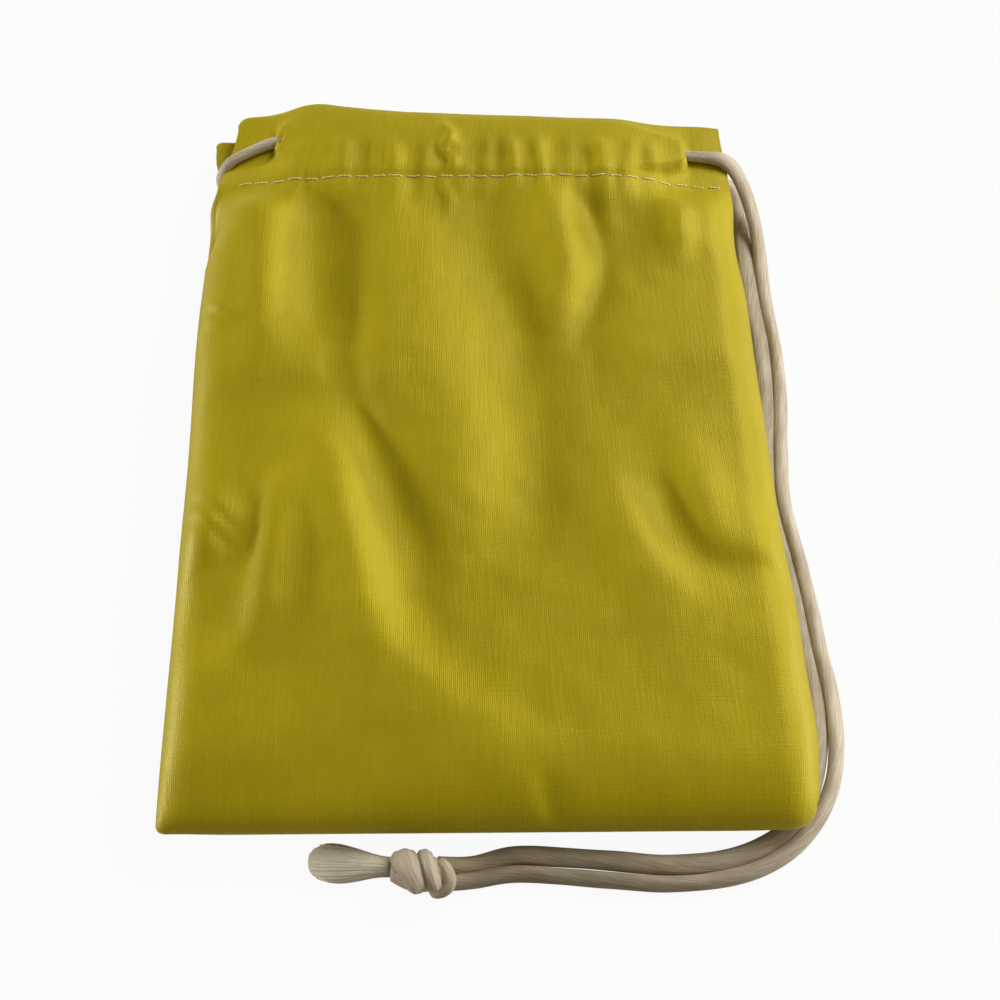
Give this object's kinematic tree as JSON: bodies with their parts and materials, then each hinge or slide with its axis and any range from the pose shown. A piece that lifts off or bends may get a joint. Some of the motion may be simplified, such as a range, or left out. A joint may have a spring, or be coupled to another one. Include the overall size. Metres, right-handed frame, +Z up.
{
  "type": "kinchaku drawstring pouch",
  "caption": "Small flat drawstring pouch of satin-like woven cloth, lying on its back, with a stitched casing at the mouth and a soft cord knotted below it.",
  "frame": {"origin": "on the surface that the pouch lies on, under the middle of the pouch's outline, the free cord left out", "axes": "+X across the pouch to its right as seen from above the front, +Y from the bottom fold to the mouth, +Z up out of the front"},
  "size_m": [0.1076, 0.1467, 0.0141],
  "materials": {
    "mustard_cloth": "satin-like plain weave with a soft sheen",
    "pale_thread": "spun sewing thread",
    "greige_cord": "soft silky cord with fine lengthwise strands"
  },
  "bodies": {
    "root": {"pouch_body": "mustard_cloth", "front_hem_thread": "pale_thread", "back_hem_thread": "pale_thread", "left_seam_thread": "pale_thread", "right_seam_thread": "pale_thread", "drawstring_held": "greige_cord", "drawstring_front_strand": "greige_cord", "drawstring_back_strand": "greige_cord", "drawstring_knot": "greige_cord", "drawstring_tail": "greige_cord"}
  },
  "joints": []
}
